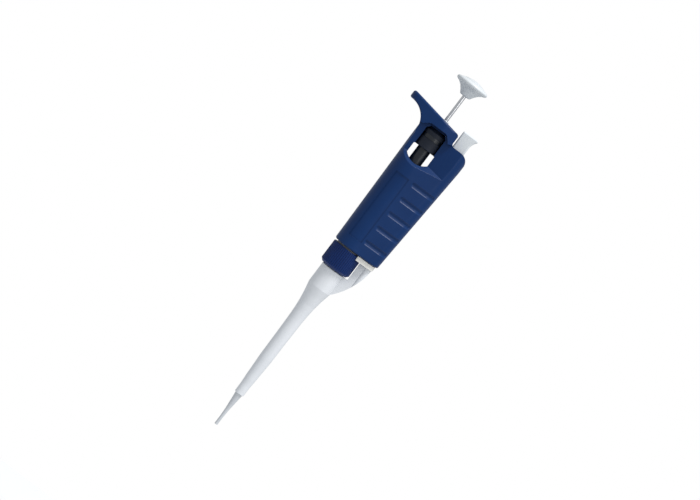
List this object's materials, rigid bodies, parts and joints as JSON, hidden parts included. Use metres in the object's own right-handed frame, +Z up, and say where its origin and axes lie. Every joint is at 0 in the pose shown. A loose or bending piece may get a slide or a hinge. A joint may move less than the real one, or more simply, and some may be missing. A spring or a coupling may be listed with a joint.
{
  "type": "adjustable micropipette",
  "caption": "Hand-held adjustable air-displacement pipette with a push button, thumbwheel, finger hook, tip ejector and tapered nozzle.",
  "frame": {"origin": "centre of the nozzle's mouth, where a disposable tip goes on", "axes": "+Z up along the piston's axis to the push button; +X from the axis towards the tip ejector, with the finger hook along -X; the volume display looks along +Y"},
  "size_m": [0.0474, 0.0216, 0.2402],
  "materials": {
    "handle_plastic": "satin dark blue moulding",
    "nut_plastic": "satin blue, fluted",
    "white_plastic": "satin white",
    "cream_plastic": "satin cream",
    "ejector_plastic": "satin pale grey, slightly translucent",
    "holder_plastic": "pale grey",
    "black_plastic": "matt black",
    "gloss_black": "glossy black",
    "grey_plastic": "mid grey",
    "lens": "clear",
    "drum_white": "white",
    "chrome": "polished",
    "steel": "drawn wire and turned steel",
    "brass": "turned",
    "rubber": "matt",
    "seal_plastic": "waxy white"
  },
  "bodies": {
    "handle": {"handle": "handle_plastic", "display_lens": "lens", "rod_guide_bush": "white_plastic", "volumeter_cage": "grey_plastic", "pinion_shaft": "steel", "spindle_nut": "brass", "neck_bush": "grey_plastic", "blowout_seat": "steel", "blowout_spring": "steel", "tip_holder": "holder_plastic", "seal_retainer": "grey_plastic", "piston_seal": "seal_plastic", "piston_oring": "rubber", "piston_spring": "steel", "ejector_spring": "steel"},
    "nut": {"connecting_nut": "nut_plastic"},
    "thumbwheel": {"thumbwheel": "black_plastic", "wheel_ring": "gloss_black", "wheel_cap": "black_plastic", "volume_stem": "gloss_black", "drum_units": "drum_white"},
    "spindle": {"volume_spindle": "brass"},
    "drum_tens": {"drum_tens": "drum_white"},
    "drum_hundreds": {"drum_hundreds": "drum_white"},
    "carry_low": {"carry_pinion_low": "seal_plastic"},
    "carry_high": {"carry_pinion_high": "seal_plastic"},
    "blowout": {"blowout_ring": "steel"},
    "plunger": {"push_button": "white_plastic", "button_insert": "white_plastic", "push_rod": "chrome", "rod_stop_collar": "steel", "piston_head": "grey_plastic", "piston": "chrome"},
    "ejector": {"ejector_button": "white_plastic", "ejector_rod": "chrome", "ejector_foot": "cream_plastic", "ejector_sleeve": "ejector_plastic"}
  },
  "joints": [
    {"name": "nut_turn", "type": "hinge", "parent": "handle", "child": "nut", "pos_m": [0, 0, 0.118], "axis": [0, 0, 1], "continuous": true},
    {"name": "wheel_turn", "type": "hinge", "parent": "handle", "child": "thumbwheel", "pos_m": [0, 0, 0.2], "axis": [0, 0, 1], "range_deg": [0, 7200]},
    {"name": "spindle_travel", "type": "slide", "parent": "thumbwheel", "child": "spindle", "axis": [0, 0, -1], "range_m": [0, 0.0127]},
    {"name": "tens_turn", "type": "hinge", "parent": "handle", "child": "drum_tens", "pos_m": [0, 0, 0.172], "axis": [0, 0, 1], "range_deg": [0, 720]},
    {"name": "hundreds_turn", "type": "hinge", "parent": "handle", "child": "drum_hundreds", "pos_m": [0, 0, 0.177], "axis": [0, 0, 1], "range_deg": [0, 72]},
    {"name": "carry_low_turn", "type": "hinge", "parent": "handle", "child": "carry_low", "pos_m": [0.00868, 0, 0.17], "axis": [0, 0, 1], "range_deg": [-2520, 0]},
    {"name": "carry_high_turn", "type": "hinge", "parent": "handle", "child": "carry_high", "pos_m": [0.00868, 0, 0.175], "axis": [0, 0, 1], "range_deg": [-252, 0]},
    {"name": "blowout_travel", "type": "slide", "parent": "handle", "child": "blowout", "axis": [0, 0, -1], "range_m": [0, 0.003], "stiffness_N_per_m": 1500, "springref_m": -0.004, "deforming": ["blowout_spring"]},
    {"name": "plunger_travel", "type": "slide", "parent": "blowout", "child": "plunger", "axis": [0, 0, -1], "range_m": [0, 0.0127], "stiffness_N_per_m": 350, "springref_m": -0.008, "deforming": ["piston_spring"]},
    {"name": "ejector_travel", "type": "slide", "parent": "handle", "child": "ejector", "axis": [0, 0, -1], "range_m": [0, 0.0062], "stiffness_N_per_m": 300, "springref_m": -0.006, "deforming": ["ejector_spring"]}
  ],
  "couplings": [
    {"joint": "spindle_travel", "follows": "wheel_turn", "m_per_rad": 0.00010106},
    {"joint": "tens_turn", "follows": "wheel_turn", "ratio": 0.1},
    {"joint": "hundreds_turn", "follows": "wheel_turn", "ratio": 0.01},
    {"joint": "carry_low_turn", "follows": "wheel_turn", "ratio": -0.35},
    {"joint": "carry_high_turn", "follows": "wheel_turn", "ratio": -0.035}
  ]
}
